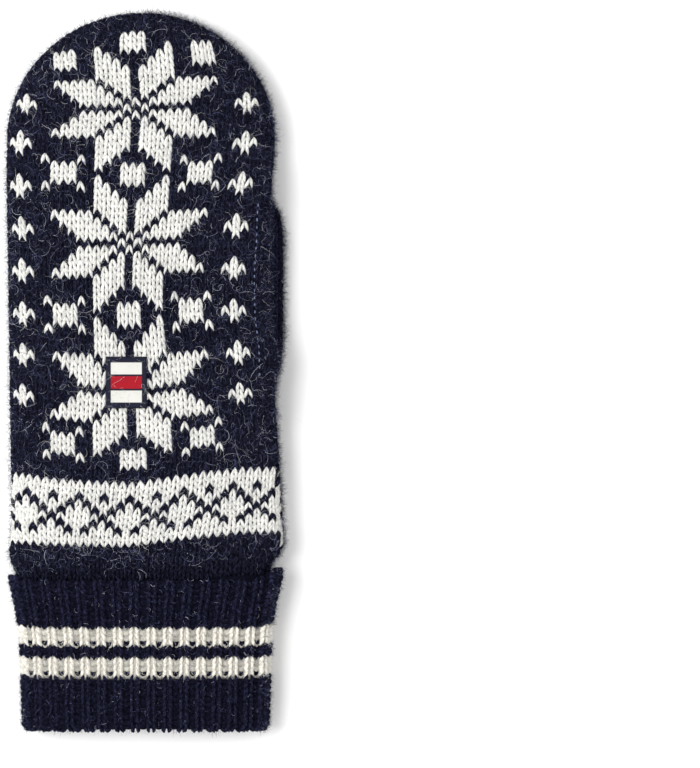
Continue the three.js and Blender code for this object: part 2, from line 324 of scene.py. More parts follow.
class Cloth:
    # Points and outward normals on an even grid of columns and rows
    def __init__(self, columns, rows, points, outward):
        self.columns = columns
        self.rows = rows
        self.points = points
        self.outward = outward
        self.leftEnd = np.full(len(rows), columns[0] - 1)
        self.rightEnd = np.full(len(rows), columns[-1] + 1)
        across = np.gradient(points, axis=1)
        along = np.gradient(points, axis=0)
        self.normals = unit(np.cross(across, along) * outward)

    def holds(self, column, row):
        # Which places lie between the cloth's two ends
        left = np.interp(row, self.rows, self.leftEnd)
        return (left < column) & (column < np.interp(row, self.rows, self.rightEnd))

    def at(self, column, row, height):
        # The place at a height over the cloth, in millimetres
        x = (column - self.columns[0]) / (self.columns[1] - self.columns[0])
        y = (row - self.rows[0]) / (self.rows[1] - self.rows[0])
        x = np.clip(x, 0, len(self.columns) - 1.001)
        y = np.clip(y, 0, len(self.rows) - 1.001)
        i, j = y.astype(int), x.astype(int)
        fy, fx = (y - i)[..., None], (x - j)[..., None]

        def blend(grid):
            near = grid[i, j] * (1 - fx) + grid[i, j + 1] * fx
            far = grid[i + 1, j] * (1 - fx) + grid[i + 1, j + 1] * fx
            return near * (1 - fy) + far * fy

        return blend(self.points) + blend(self.normals) * np.asarray(height)[..., None]


# Pitches of the stitches. rise: how deep the backing lies. seamMargin: the columns that
# the bands along the edges take. tipGap and seamTipGap keep sections from closing to a point.
knit = {
    "columnPitch": 3.36,
    "seamPitch": 2.8,
    "thumbRow": 2.75,
    "cuffRow": 2.4,
    "rise": 1.25,
    "seamMargin": 1.3,
    "rimMargin": 0.5,
    "tipMargin": 0.3,
    "tipGap": 0.02,
    "seamTipGap": 0.0002,
}

# How finely a form is measured while cloth is laid on it
laying = {
    "heights": 420,
    "angles": 361,
    "seamHeights": 900,
    "seamDepths": 90,
    "seamDepth": 16.0,
    "seamPacking": 2.5,
    "seamOverrun": 20.0,
}


def steps(first, last, step=0.25):
    return np.arange(first, last + 0.01, step)


def gridOf(columns, rows):
    # Every column at every row, as two flat lists
    return [a.ravel().astype(float) for a in np.meshgrid(columns, rows)]


# Rows of the hand. row: counted up from the cuff. at: share of the hand's length.
rowTable = tableOf(
    "row at",
    (-4, -0.0354),
    (-1, 0.0),
    (4, 0.059),
    (13, 0.159),
    (17, 0.212),
    (27, 0.334),
    (37, 0.463),
    (47, 0.591),
    (57, 0.715),
    (67, 0.831),
    (77, 0.946),
    (83, 1.0),
)

# How far the back's columns and rows drift from an even grid, in millimetres, at five
# columns. at: share of the hand's length.
driftColumns = {"farLeft": -13, "left": -8, "middle": 0, "right": 8, "farRight": 13}
acrossDrift = tableOf(
    "at farLeft left middle right farRight",
    (0.0, -5.5, -7.0, -8.3, -8.5, -6.5),
    (0.0735, -8.1, -7.0, -7.3, -6.6, -5.3),
    (0.11, -8.5, -6.4, -6.2, -5.1, -5.0),
    (0.1442, -7.9, -5.8, -5.4, -4.0, -5.2),
    (0.19, -5.7, -5.4, -4.4, -3.2, -4.3),
    (0.24, -4.9, -5.9, -4.5, -3.1, -3.8),
    (0.29, -5.8, -5.7, -4.8, -3.7, -4.4),
    (0.35, -5.8, -4.8, -4.9, -4.9, -5.5),
    (0.41, -5.8, -4.0, -5.6, -6.5, -6.1),
    (0.47, -5.7, -4.2, -6.1, -8.4, -7.6),
    (0.535, -6.1, -4.8, -6.0, -8.2, -7.8),
    (0.6, -5.8, -5.2, -5.4, -7.2, -6.9),
    (0.66, -6.6, -5.3, -4.7, -6.0, -6.5),
    (0.72, -7.3, -5.2, -4.4, -4.6, -4.2),
    (0.775, -7.1, -5.1, -3.6, -3.7, -2.9),
    (0.8345, -4.7, -4.5, -3.2, -2.9, -2.3),
    (0.8965, -3.5, -5.2, -4.0, -2.1, -3.6),
    (0.95, -3.9, -6.6, -4.8, -3.7, -7.5),
    (1.0, -3.6, -5.5, -4.1, -4.4, -9.1),
)

upDrift = tableOf(
    "at farLeft left middle right farRight",
    (0.0, 1.6, 1.8, 1.6, 4.1, 6.0),
    (0.0735, 1.9, 0.7, -0.1, 3.8, 5.6),
    (0.11, 2.6, 1.0, -0.6, 3.3, 4.8),
    (0.1442, 3.4, 1.5, -0.3, 4.0, 5.5),
    (0.19, 3.0, 0.3, -0.4, 3.7, 5.6),
    (0.24, 2.6, -0.5, -1.8, 2.3, 4.7),
    (0.29, 2.8, 0.0, -2.2, 1.9, 3.7),
    (0.35, 2.1, 0.4, -2.5, 1.4, 2.6),
    (0.41, 1.1, 0.4, -1.4, 1.2, 2.2),
    (0.47, 0.3, -0.3, -0.2, 1.7, 1.4),
    (0.535, 0.2, -1.2, 0.2, 1.4, 1.0),
    (0.6, -0.3, -0.9, -0.7, 0.7, 0.5),
    (0.66, -0.2, -0.2, -1.6, -0.2, 1.1),
    (0.72, 0.3, -0.2, -1.1, -0.3, 1.0),
    (0.775, 1.6, -0.6, -0.5, -0.2, 1.4),
    (0.8345, 1.3, -1.5, -0.9, 0.3, 1.7),
    (0.8965, -1.4, -2.1, -0.8, 0.0, 0.2),
    (0.95, -4.5, -2.9, 0.5, 1.8, 1.2),
    (1.0, -6.5, -2.8, 1.9, 1.7, 0.7),
)


def drift(table, columns, shares):
    knots = np.stack([curve(table, name, shares) for name in driftColumns], axis=-1)
    places = list(driftColumns.values())
    return np.array([np.interp(columns, places, row) for row in knots])


def runAlong(lines):
    # The length along each line of points, from its start
    pieces = np.linalg.norm(np.diff(lines, axis=1), axis=2)
    return np.concatenate([np.zeros((len(lines), 1)), np.cumsum(pieces, axis=1)], axis=1)


def handClothOf(side):
    # side: 1 is the back of the hand, -1 the palm
    columns = steps(-22, 22)
    rows = steps(-3, 83)
    shares = np.interp(rows, [r["row"] for r in rowTable], [r["at"] for r in rowTable])
    straight = freeEdgeY + shares * handLength
    y = np.tile(straight[:, None], len(columns))
    shift = np.zeros(y.shape)
    if side > 0:
        y += drift(upDrift, columns, shares)
        shift = drift(acrossDrift, columns, shares)
    y = np.clip(y, rimY, tipY - knit["tipGap"])
    return layCloth(handPoint, columns, rows, y, shift, side)


def layCloth(point, columns, rows, y, shift, side):
    # Lays the columns round the form, each at its own distance from the line x = 0
    fineY = np.linspace(y.min(), y.max(), laying["heights"])
    angles = np.linspace(math.pi, 0 if side > 0 else 2 * math.pi, laying["angles"])
    rings = point(angles[None, :], fineY[:, None])
    arcs = runAlong(rings)
    middleRow = y[:, len(columns) // 2]
    table = np.empty((len(fineY), len(columns)))
    reach = np.empty((len(fineY), 2))
    for i in range(len(fineY)):
        middle = np.interp(0, rings[i, :, 0], arcs[i])
        row = np.interp(fineY[i], middleRow, np.arange(len(rows)))
        low = int(min(row, len(rows) - 2))
        offsets = columns * knit["columnPitch"] + mix(shift[low], shift[low + 1], row - low)
        table[i] = np.interp(middle + offsets, arcs[i], angles)
        reach[i] = np.interp([-middle, arcs[i, -1] - middle], offsets, columns)
    place = np.clip((y - fineY[0]) / (fineY[1] - fineY[0]), 0, len(fineY) - 1.001)
    i = place.astype(int)
    f = place - i
    j = np.arange(len(columns))[None, :]
    angle = table[i, j] * (1 - f) + table[i + 1, j] * f
    cloth = Cloth(columns, rows, point(angle, y), side)
    cloth.leftEnd = np.interp(middleRow, fineY, reach[:, 0])
    cloth.rightEnd = np.interp(middleRow, fineY, reach[:, 1])
    return cloth


def seamClothOf(sectionOf, lift, low, tip, side):
    # The band of stitches that follows an outline's left (-1) or right (1) edge up to the tip
    high = tip - knit["seamTipGap"]
    y = low + (high - low) * np.sin(np.linspace(0, math.pi / 2, laying["seamHeights"]))
    section = sectionOf(y)
    x = section["left"] if side < 0 else section["right"]
    length = np.append(0, np.cumsum(np.hypot(np.diff(x), np.diff(y))))
    count = round(length[-1] / knit["seamPitch"])
    rows = steps(0, count)
    x = np.interp(rows / count * length[-1], length, x)
    y = np.interp(rows / count * length[-1], length, y)
    tangent = unit(np.stack([np.gradient(x), np.gradient(y)], axis=1))
    inward = np.stack([-side * tangent[:, 1], side * tangent[:, 0]], axis=1)
    shares = np.linspace(0, 1, laying["seamDepths"])
    depth = laying["seamDepth"] * shares ** laying["seamPacking"]
    profile = []
    for face in (-1, 1):
        px = x[:, None] + inward[:, :1] * depth
        py = np.clip(y[:, None] + inward[:, 1:] * depth, low - laying["seamOverrun"], high)
        pz = surfaceHeight(sectionOf, px, py, face, lift)
        points = np.stack([px, py, pz], axis=-1)
        profile.append(points[:, ::face] if face > 0 else points[:, :0:-1])
    profile = np.concatenate(profile, axis=1)
    arcs = runAlong(profile)
    columns = steps(-1.5, 1.5)
    laid = np.empty((len(rows), len(columns), 3))
    middle = len(depth) - 1
    for i in range(len(rows)):
        wanted = arcs[i, middle] + columns * knit["columnPitch"]
        for axis in range(3):
            laid[i, :, axis] = np.interp(wanted, arcs[i], profile[i, :, axis])
    cloth = Cloth(columns, rows, laid, -side)
    cloth.edge = profile[:, middle]
    return cloth


def farFromEdges(points, clothes):
    # Which places lie outside the bands along the outline
    far = np.ones(len(points), bool)
    distance = knit["seamMargin"] * knit["columnPitch"]
    for cloth in clothes:
        for part in np.array_split(cloth.edge, 6):
            gaps = np.linalg.norm(points[:, None] - part[None], axis=-1)
            far &= gaps.min(axis=1) > distance
    return far


# Charts: which stitches are white


def starChart(column, row):
    c, r = abs(column), abs(row)
    if c == 0:
        return r == 1
    if c == 1 and r == 0:
        return True
    upright = c <= 4 and c + 1 <= r <= c + 5
    level = 2 <= c <= 9 and max(1, c - 5) <= r <= min(c - 1, 4)
    return upright or level


def plusChart(column, row):
    return abs(column) + abs(row) <= 1


def bandChart(column, row):
    # Six columns and six rows of navy lattice between two white rows above and below
    lattice = {0: (0, 3), 1: (1, 5), 2: (2, 4), 3: (3,), 4: (2, 4), 5: (1, 5)}
    return column % 6 not in lattice.get(row - 2, ())


def isWhite(chart, c, r):
    cells = zip(np.rint(c).astype(int), np.rint(r).astype(int))
    return np.array([chart(column, row) for column, row in cells], bool)


bandRows = (4, 13)
starRows = (27, 47, 67)
squareRows = (17, 37, 57, 77)
crossRows = (19, 37, 57, 75)
plusRows = tuple(range(25, 68, 6))
crossColumn = 8
plusColumn = 13


def backChart(column, row):
    if row < bandRows[0]:
        return False
    if row <= bandRows[1]:
        return bandChart(column, bandRows[1] - row)
    if any(starChart(column, row - star) for star in starRows):
        return True
    if abs(column) <= 1 and any(abs(row - square) <= 1 for square in squareRows):
        return True
    for cross in crossRows:
        c, r = abs(abs(column) - crossColumn), abs(row - cross)
        if (c <= 1 and r <= 1) or (c == 2 and r == 2 and cross != crossRows[-1]):
            return True
    return any(plusChart(abs(column) - plusColumn, row - plus) for plus in plusRows)


def palmChart(column, row):
    if row < bandRows[0]:
        return False
    if row <= bandRows[1]:
        return bandChart(column, bandRows[1] - row)
    up = row - bandRows[1] - 3
    if up < 0:
        return False
    for shift in (0, 3):
        c = (column + shift + 3) % 6 - 3
        r = (up + shift + 3) % 6 - 3
        if plusChart(c, r) and up - r >= 1:
            return True
    return False


# Meshes


def hexColour(code):
    channels = [int(code[i : i + 2], 16) / 255 for i in (1, 3, 5)]
    return [c / 12.92 if c <= 0.04045 else ((c + 0.055) / 1.055) ** 2.4 for c in channels]


def meshPiece(name, points, faces, material, node):
    # A piece of the mitten from arrays of points, in millimetres, and of equal-sided faces
    mesh = bpy.data.meshes.new(name)
    sides = faces.shape[1]
    mesh.vertices.add(len(points))
    mesh.vertices.foreach_set("co", (points * mm).astype(np.float32).ravel())
    mesh.loops.add(faces.size)
    mesh.loops.foreach_set("vertex_index", faces.astype(np.int32).ravel())
    mesh.polygons.add(len(faces))
    mesh.polygons.foreach_set("loop_start", np.arange(0, faces.size, sides, dtype=np.int32))
    mesh.update(calc_edges=True)
    mesh.polygons.foreach_set("use_smooth", np.full(len(faces), True))
    mesh.materials.append(material)
    piece = bpy.data.objects.new(name, mesh)
    bpy.context.scene.collection.objects.link(piece)
    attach(piece, "root")
    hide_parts(node)
    return piece


def setAttribute(piece, name, kind, values):
    attribute = piece.data.attributes.new(name, kind, "POINT")
    key = "color" if kind == "FLOAT_COLOR" else "vector"
    attribute.data.foreach_set(key, np.ascontiguousarray(values, dtype=np.float32).ravel())


def bakeMap(piece, uv):
    layer = piece.data.uv_layers.new(name="OFBake")
    layer.data.foreach_set("uv", np.ascontiguousarray(uv, dtype=np.float32).ravel())


def cellUv(count, cellFaces):
    # One square cell of the bake map for each small piece. cellFaces: its faces' own corners.
    side = math.ceil(math.sqrt(count))
    i = np.arange(count)
    origin = np.stack([i % side, i // side], axis=1) / side
    inner = 0.06 + 0.88 * cellFaces
    return origin[:, None, None, :] + inner[None] / side


def gridFaces(down, across, closed=False):
    # Quads between the points of a grid, row by row
    i = np.arange(down - 1)[:, None] * across
    j = np.arange(across if closed else across - 1)[None, :]
    k = (j + 1) % across
    return np.stack([i + j, i + k, i + k + across, i + j + across], axis=-1).reshape(-1, 4)


def stripPiece(name, points, paint, strand, material, node, inward=()):
    # One piece of many small strips. points: strip, station, side. paint: each strip's
    # colour and contrast. inward: the strips whose faces are turned to look outwards.
    count, stations, sides = points.shape[:3]
    cell = gridFaces(stations, sides)
    faces = np.arange(count)[:, None, None] * stations * sides + cell[None]
    corners = np.stack([cell % sides / (sides - 1), cell // sides / (stations - 1)], axis=-1)
    uv = cellUv(count, corners)
    if len(inward):
        faces[inward] = faces[inward][:, :, ::-1]
        uv[inward] = uv[inward][:, :, ::-1]
    piece = meshPiece(name, points.reshape(-1, 3), faces.reshape(-1, 4), material, node)
    setAttribute(piece, "yarn", "FLOAT_COLOR", np.repeat(paint, stations * sides, axis=0))
    if strand is not None:
        setAttribute(piece, "strand", "FLOAT_VECTOR", strand)
    bakeMap(piece, uv)


def strandOf(across, along, shape):
    # Where a point lies on its strand of yarn, in millimetres, and a number for each strand
    own = rng.uniform(0, 900, shape[0])[:, None, None]
    return np.stack([np.broadcast_to(a, shape) for a in (across, along, own)], axis=-1)


def tidyPiece(piece):
    model = bmesh.new()
    model.from_mesh(piece.data)
    bmesh.ops.remove_doubles(model, verts=model.verts, dist=0.00002)
    loose = [v for v in model.verts if not v.link_faces]
    bmesh.ops.delete(model, geom=loose, context="VERTS")
    bmesh.ops.recalc_face_normals(model, faces=model.faces)
    model.to_mesh(piece.data)
    model.free()


# Legs: each stitch shows two legs that meet towards the fingertip. Widths and places are
# shares of a column or row, crest and thick are millimetres.
leg = {
    "at": np.array([0.0, 0.2, 0.5, 0.8, 1.0]),
    "width": np.array([0.1, 0.2, 0.225, 0.18, 0.06]),
    "crest": np.array([-1.2, -0.45, 0.0, 0.05, -0.5]),
    "low": -0.8,
    "high": 0.84,
    "foot": 0.41,
    "apex": 0.07,
    "bow": 0.02,
    "thick": 1.35,
    "around": np.radians([-92, -48, 0, 48, 92]),
}

# The legs that lie on the table are drawn with fewer sides
plainLeg = dict(leg, around=np.radians([-92, -32, 32, 92]))

# How unlike each other hand-made stitches are. swell: how much wider a raised stitch is.
uneven = {
    "size": 0.035,
    "shift": 0.018,
    "slide": 0.04,
    "raised": 0.07,
    "shade": 0.05,
    "swell": 0.35,
    "legRun": 4.4,
}


def legPieces(name, clothes, stitches, material, node, leg=leg):
    # stitches: arrays of cloth index, column, row, contrast, relief, colour. Every stitch has
    # two legs, and its relief is how far it stands out, in millimetres.
    cloth, column, row, contrast, relief, colour = stitches
    side = np.tile([-1.0, 1.0], len(column))
    cloth, column, row, contrast, relief = (
        np.repeat(a, 2) for a in (cloth, column, row, contrast, relief)
    )
    colour = np.repeat(colour, 2, axis=0)
    count = len(column)
    size = 1 + uneven["swell"] * relief + rng.normal(0, uneven["size"], count)
    shift = rng.normal(0, uneven["shift"], count)
    slide = rng.normal(0, uneven["slide"], count)
    raised = relief + rng.normal(0, uneven["raised"], count)
    t = leg["at"][None, :, None]
    around = leg["around"][None, None, :]
    width = leg["width"][None, :, None] * size[:, None, None]
    u = side[:, None, None] * (mix(leg["foot"], leg["apex"], t) + leg["bow"] * np.sin(math.pi * t))
    u = u + width * np.sin(around) + shift[:, None, None]
    v = mix(leg["low"], leg["high"], t) + slide[:, None, None] + 0 * u
    crest = leg["crest"][None, :, None] + raised[:, None, None]
    height = crest - leg["thick"] * (1 - np.cos(around)) + 0 * u
    points = np.empty(u.shape + (3,))
    for i, laid in enumerate(clothes):
        mine = cloth == i
        c = column[mine][:, None, None] + u[mine]
        r = row[mine][:, None, None] + v[mine]
        points[mine] = laid.at(c, r, height[mine])
    points[..., 2] = np.maximum(points[..., 2], 0)
    facing = np.array([laid.outward for laid in clothes])[cloth] * np.sign(leg["high"] - leg["low"])
    shade = (1 + rng.normal(0, uneven["shade"], count))[:, None] * colour
    paint = np.concatenate([shade, contrast[:, None]], axis=1)
    across = np.sin(around) * leg["width"][None, :, None] * knit["columnPitch"]
    strand = strandOf(across, t * uneven["legRun"], u.shape)
    stripPiece(name, points, paint, strand, material, node, facing < 0)


# Colours and materials

wool = {
    "navy": "#171826",
    "plainNavy": "#1f2034",
    "cuffNavy": "#1b1c2e",
    "white": "#dfdeda",
    "cream": "#e6e2d8",
    "float": "#8f9cc0",
    "hairNavy": "#1e1f33",
    "hairDark": "#2c2f4c",
    "hairGrey": "#6d7298",
    "hairPale": "#d9dce8",
}
woolLinear = {name: np.array(hexColour(code)) for name, code in wool.items()}


def wire(tree, node, inputs):
    # Sets each input to its value, or links the socket that is given for it
    for key, value in inputs.items():
        if isinstance(value, bpy.types.NodeSocket):
            tree.links.new(value, node.inputs[key])
        else:
            node.inputs[key].default_value = value


def addNode(tree, kind, inputs={}, **settings):
    node = tree.nodes.new(kind)
    for name, value in settings.items():
        setattr(node, name, value)
    wire(tree, node, inputs)
    return node


def newMaterial(name):
    material = bpy.data.materials.new(name)
    material.use_nodes = True
    tree = material.node_tree
    return material, tree, tree.nodes["Principled BSDF"]


# Fibres about 0.5 mm wide and 1 mm long, coarser than wool's own so that they show
fibre = {"stretch": (1.7, 0.75, 1.0), "scale": 1.2, "contrast": 8.0, "darkest": 0.2}
matt = {"Roughness": 0.95, "Specular IOR Level": 0.03}


def yarnMaterial(name):
    # Brushed two-ply sheep's wool, spun loosely: matt, with fine fibres along each strand
    material, tree, shader = newMaterial(name)
    colour = addNode(tree, "ShaderNodeAttribute", attribute_name="yarn")
    strand = addNode(tree, "ShaderNodeAttribute", attribute_name="strand")
    inputs = {"Vector": strand.outputs["Vector"], "Scale": fibre["stretch"]}
    place = addNode(tree, "ShaderNodeMapping", inputs)
    inputs = {"Vector": place.outputs["Vector"], "Scale": fibre["scale"]}
    fibres = addNode(tree, "ShaderNodeTexNoise", {**inputs, "Detail": 3.0, "Roughness": 0.7})
    inputs = {0: fibres.outputs["Fac"], 1: 0.5}
    centred = addNode(tree, "ShaderNodeMath", inputs, operation="SUBTRACT")
    # The colour's fourth channel tells how strongly light and dark fibres differ
    inputs = {0: centred.outputs["Value"], 1: colour.outputs["Alpha"]}
    scaled = addNode(tree, "ShaderNodeMath", inputs, operation="MULTIPLY")
    inputs = {0: scaled.outputs["Value"], 1: fibre["contrast"], 2: 1.0}
    strength = addNode(tree, "ShaderNodeMath", inputs, operation="MULTIPLY_ADD")
    inputs = {0: strength.outputs["Value"], 1: fibre["darkest"]}
    least = addNode(tree, "ShaderNodeMath", inputs, operation="MAXIMUM")
    inputs = {0: colour.outputs["Color"], "Scale": least.outputs["Value"]}
    tint = addNode(tree, "ShaderNodeVectorMath", inputs, operation="SCALE")
    # The bump gives the eye the combed fibres that catch the light
    inputs = {"Height": fibres.outputs["Fac"], "Strength": 0.5, "Distance": 0.0003}
    bump = addNode(tree, "ShaderNodeBump", inputs)
    base, normal = tint.outputs["Vector"], bump.outputs["Normal"]
    wire(tree, shader, {"Base Color": base, "Normal": normal, **matt})
    return material


def backingMaterial(name, code):
    # The dark inside of the knitting, seen in the holes between stitches
    material, tree, shader = newMaterial(name)
    dark = np.array(hexColour(code))
    place = addNode(tree, "ShaderNodeTexCoord")
    inputs = {"Vector": place.outputs["Object"], "Scale": 900.0, "Detail": 2.0}
    fleck = addNode(tree, "ShaderNodeTexNoise", inputs)
    inputs = {0: fleck.outputs["Fac"], 6: (*dark, 1), 7: (*(dark * 2.2), 1)}
    ramp = addNode(tree, "ShaderNodeMix", inputs, data_type="RGBA")
    inputs = {"Height": fleck.outputs["Fac"], "Strength": 0.6, "Distance": 0.0006}
    bump = addNode(tree, "ShaderNodeBump", inputs)
    base, normal = ramp.outputs[2], bump.outputs["Normal"]
    wire(tree, shader, {"Base Color": base, "Normal": normal, **matt})
    return material


handYarn = yarnMaterial("Brushed two-ply wool, stockinette")
plainYarn = yarnMaterial("Brushed two-ply wool, plain navy")
cuffYarn = yarnMaterial("Brushed two-ply wool, rib")
backing = backingMaterial("Wool backing", "#10111c")
contrasts = {"navy": 1.0, "white": 0.24}
# Navy stitches stand a little out of white ones, most of all in the band's lattice
reliefs = {"navy": 0.14, "lattice": 0.5}


# Hand

print("hand")
backCloth = handClothOf(1)
palmCloth = handClothOf(-1)
seamCloths = [
    seamClothOf(handSection, dent, rimY, tipY, 1),
    seamClothOf(handSection, dent, rimY, tipY, -1),
]


def coloursOf(white, pale="white", dark="navy"):
    # The contrast within each stitch's yarn, its relief and its colour
    contrast = np.where(white, contrasts["white"], contrasts["navy"])
    relief = np.where(white, 0, reliefs["navy"])
    return contrast, relief, np.where(white[:, None], woolLinear[pale], woolLinear[dark])


# How far the palm's knitting ends outside the thumb's outline, or inside it where negative
thumbMargins = {"palm": 0.2, "edges": -0.5, "backing": -1.2}


def inThumb(points, grow):
    # Which places lie inside the folded thumb's outline
    y = points[..., 1]
    section = thumbSection(np.clip(y, thumbRootY, thumbTipY - 0.01))
    x, z = points[..., 0], points[..., 2]
    across = (section["left"] - grow < x) & (x < section["right"] + grow)
    return across & (z < section["top"] + grow) & (y > thumbRootY - grow) & (y < thumbTipY)


def panelStitches(cloth, index, chart, keep=None):
    # Every whole stitch of a panel, up to the bands that follow its edges
    c, r = gridOf(np.arange(-21, 22), np.arange(-3, 83))
    centre = cloth.at(c, r, 0 * c)
    y = centre[:, 1]
    kept = cloth.holds(c, r) & (y > rimY + knit["rimMargin"]) & (y < tipY - knit["tipMargin"])
    kept &= farFromEdges(centre, seamCloths)
    if keep is not None:
        kept &= keep(centre)
    c, r = c[kept], r[kept]
    white = isWhite(chart, c, r)
    contrast, relief, colour = coloursOf(white)
    lattice = ~white & (r >= bandRows[0]) & (r <= bandRows[1])
    relief = np.where(lattice, reliefs["lattice"], relief)
    return np.full(len(c), index), c, r, contrast, relief, colour


def seamStitches(cloth, index, chart):
    # The two columns of a band, charted by the hand's row that they lie beside
    c, r = gridOf([-0.5, 0.5], np.arange(0.5, cloth.rows[-1] + 0.3))
    share = (cloth.at(c, r, 0 * c)[:, 1] - freeEdgeY) / handLength
    beside = np.interp(share, [q["at"] for q in rowTable], [q["row"] for q in rowTable])
    return np.full(len(c), index), c, r, *coloursOf(isWhite(chart, 2 * c + 20, beside))


def noWhite(column, row):
    return False


def seamChart(column, row):
    return bandRows[0] <= row <= bandRows[1] and bandChart(column, bandRows[1] - row)


def edgeStitches(cloth, index):
    # The stitches of a band along the hand's edge, but for those hidden by the thumb
    group = seamStitches(cloth, index, seamChart)
    kept = ~inThumb(cloth.at(group[1], group[2], 0 * group[1]), thumbMargins["edges"])
    return [a[kept] for a in group]


def join(*groups):
    return tuple(np.concatenate(parts) for parts in zip(*groups))


backStitches = panelStitches(backCloth, 0, backChart)
palmStitches = panelStitches(
    palmCloth, 0, palmChart, lambda p: ~inThumb(p, thumbMargins["palm"])
)
seams = join(*(edgeStitches(cloth, i) for i, cloth in enumerate(seamCloths)))
legPieces("hand_back", [backCloth], backStitches, handYarn, "hand")
legPieces("hand_palm", [palmCloth], palmStitches, handYarn, "hand", plainLeg)
legPieces("hand_edges", seamCloths, seams, handYarn, "hand")

# Between two columns on the thumb's side the carried white yarn glints through
floatRows = np.arange(28, 53.0)
floatContrast = np.full(len(floatRows), contrasts["white"])
floatColour = np.outer(rng.uniform(0.5, 1, len(floatRows)), woolLinear["float"])
floatLeg = dict(
    leg,
    width=np.array([0.03, 0.07, 0.085, 0.07, 0.03]),
    crest=np.array([-0.4, 0.0, 0.1, 0.0, -0.4]),
    low=-0.26,
    high=0.14,
    foot=0.0,
    apex=0.0,
    bow=0.0,
)
floatZero = 0 * floatRows
floatIndex, floatColumn = floatZero.astype(int), 15.5 + floatZero
floats = (floatIndex, floatColumn, floatRows, floatContrast, floatZero, floatColour)
legPieces("hand_floats", [backCloth], floats, handYarn, "hand", floatLeg)
print("stitches", len(backStitches[1]), len(palmStitches[1]), len(seams[1]))


def skinPiece(name, point, low, tip, wall, keep, node, sides=100, rings=64):
    # The knitting behind the stitches: an outer and an inner wall joined at the open end
    angles = np.linspace(0, 2 * math.pi, sides, endpoint=False)
    # The rings crowd towards the tip, where the section changes most
    shares = np.sin(np.linspace(0, math.pi / 2, rings)) ** 0.9
    heights = low + (tip - knit["tipGap"] - low) * shares
    y = heights[:, None] + 0 * angles[None, :]
    skin = point(angles[None, :], y)
    across = np.roll(skin, -1, axis=1) - np.roll(skin, 1, axis=1)
    along = np.gradient(skin, axis=0)
    normals = unit(np.cross(along, across))
    walls = []
    for depth in (knit["rise"], wall):
        wallPoints = skin - normals * depth
        wallPoints[0, :, 1] = low
        wallPoints[-1] = np.array([skin[-1, :, 0].mean(), tip - depth, skin[-1, :, 2].mean()])
        walls.append(wallPoints)
    flat = np.concatenate([walls[0][::-1], walls[1]]).reshape(-1, 3)
    faces = gridFaces(2 * rings, sides, closed=True)
    if keep is not None:
        faces = faces[keep(flat[faces].mean(axis=1))]
    tidyPiece(meshPiece(name, flat, faces, backing, node))


skinPiece(
    "hand_backing",
    handPoint,
    rimY,
    tipY,
    form["handWall"],
    lambda p: ~inThumb(p, thumbMargins["backing"]),
    "hand",
)


# Thumb

print("thumb")
thumbRows = round((thumbTipY - thumbRootY) / knit["thumbRow"])


def thumbClothOf(side):
    columns, rows = steps(-9, 9), steps(0, thumbRows)
    straight = thumbRootY + rows * (thumbTipY - thumbRootY) / thumbRows
    straight = np.clip(straight, thumbRootY, thumbTipY - knit["tipGap"])
    y = np.tile(straight[:, None], len(columns))
    middle = (thumbLow[0] + thumbHigh[0]) / 2
    return layCloth(thumbPoint, columns, rows, y, np.full(y.shape, middle), side)


def thumbStitches(cloth, index):
    c, r = gridOf(np.arange(-8, 9), np.arange(0, thumbRows))
    kept = cloth.holds(c, r) & farFromEdges(cloth.at(c, r, 0 * c), thumbCloths[2:])
    c, r = c[kept], r[kept]
    return np.full(len(c), index), c, r, *coloursOf(np.zeros(len(c), bool), dark="plainNavy")


thumbCloths = [
    thumbClothOf(1),
    thumbClothOf(-1),
    seamClothOf(thumbSection, noLift, thumbRootY, thumbTipY, 1),
    seamClothOf(thumbSection, noLift, thumbRootY, thumbTipY, -1),
]
thumbSeams = [seamStitches(thumbCloths[i], i, noWhite) for i in (2, 3)]
thumbKnit = join(thumbStitches(thumbCloths[0], 0), thumbStitches(thumbCloths[1], 1), *thumbSeams)
legPieces("thumb_knit", thumbCloths, thumbKnit, plainYarn, "thumb", plainLeg)
skinPiece(
    "thumb_backing",
    thumbPoint,
    thumbRootY,
    thumbTipY,
    form["thumbWall"],
    None,
    "thumb",
    sides=72,
    rings=48,
)


# Cuff

print("cuff")
cuffKnit = {
    "foldFlat": 0.8,
    "foldRun": 5.0,
    "innerGap": 1.5,
    "backingRuns": 70,
    "backingGap": 0.2,
    # The next two are painted shade: they darken the backing's colour, least behind the ribs'
    # middles and most in the purl columns between them
    "backingShade": 0.52,
    "backingValleyShade": 0.2,
}
ribs = form["ribCount"]
foldBend = form["cuffWall"] + form["layerGap"] / 2
cuffAngles = ringAngles(cuffSection(np.array(cuffLength / 2)), 4 * ribs)


def edgeRise(x):
    # How far the cuff's free edge climbs at its two sides
    run = cuffHalf - form["riseStart"]
    near = form["thumbSideRise"] * smooth((x - form["riseStart"]) / run)
    return near + form["farSideRise"] * smooth((-x - form["riseStart"]) / run)


def cuffPath(run):
    # Up and depth at a run down the outer face, round the fold and up the inner face
    outer = cuffLength - foldBend
    turn = np.clip((run - outer) / foldBend, 0, math.pi)
    up = np.where(run < outer, cuffLength - run, foldBend - foldBend * np.sin(turn))
    past = run - outer - math.pi * foldBend
    up = np.where(past > 0, foldBend + past, up)
    return up, foldBend * (1 - np.cos(turn)), run > outer + math.pi * foldBend / 2


def cuffPoint(columns, run):
    # The cloth's outer face at half ribs round the cuff and at a run down it
    up, depth, inner = (np.repeat(a[:, None], len(columns), axis=1) for a in cuffPath(run))
    ends = np.append(cuffAngles, 2 * math.pi)
    angle = np.interp(columns * 2 % (4 * ribs), np.arange(4 * ribs + 1), ends)
    height = np.where(inner, np.minimum(up, form["flareStart"] * cuffLength), up)
    points = ringPoint(inset(cuffSection(height), depth), angle, foldY + up)
    points[..., 1] += np.where(inner, 0, edgeRise(points[..., 0]) * (up / cuffLength) ** 3)
    return points


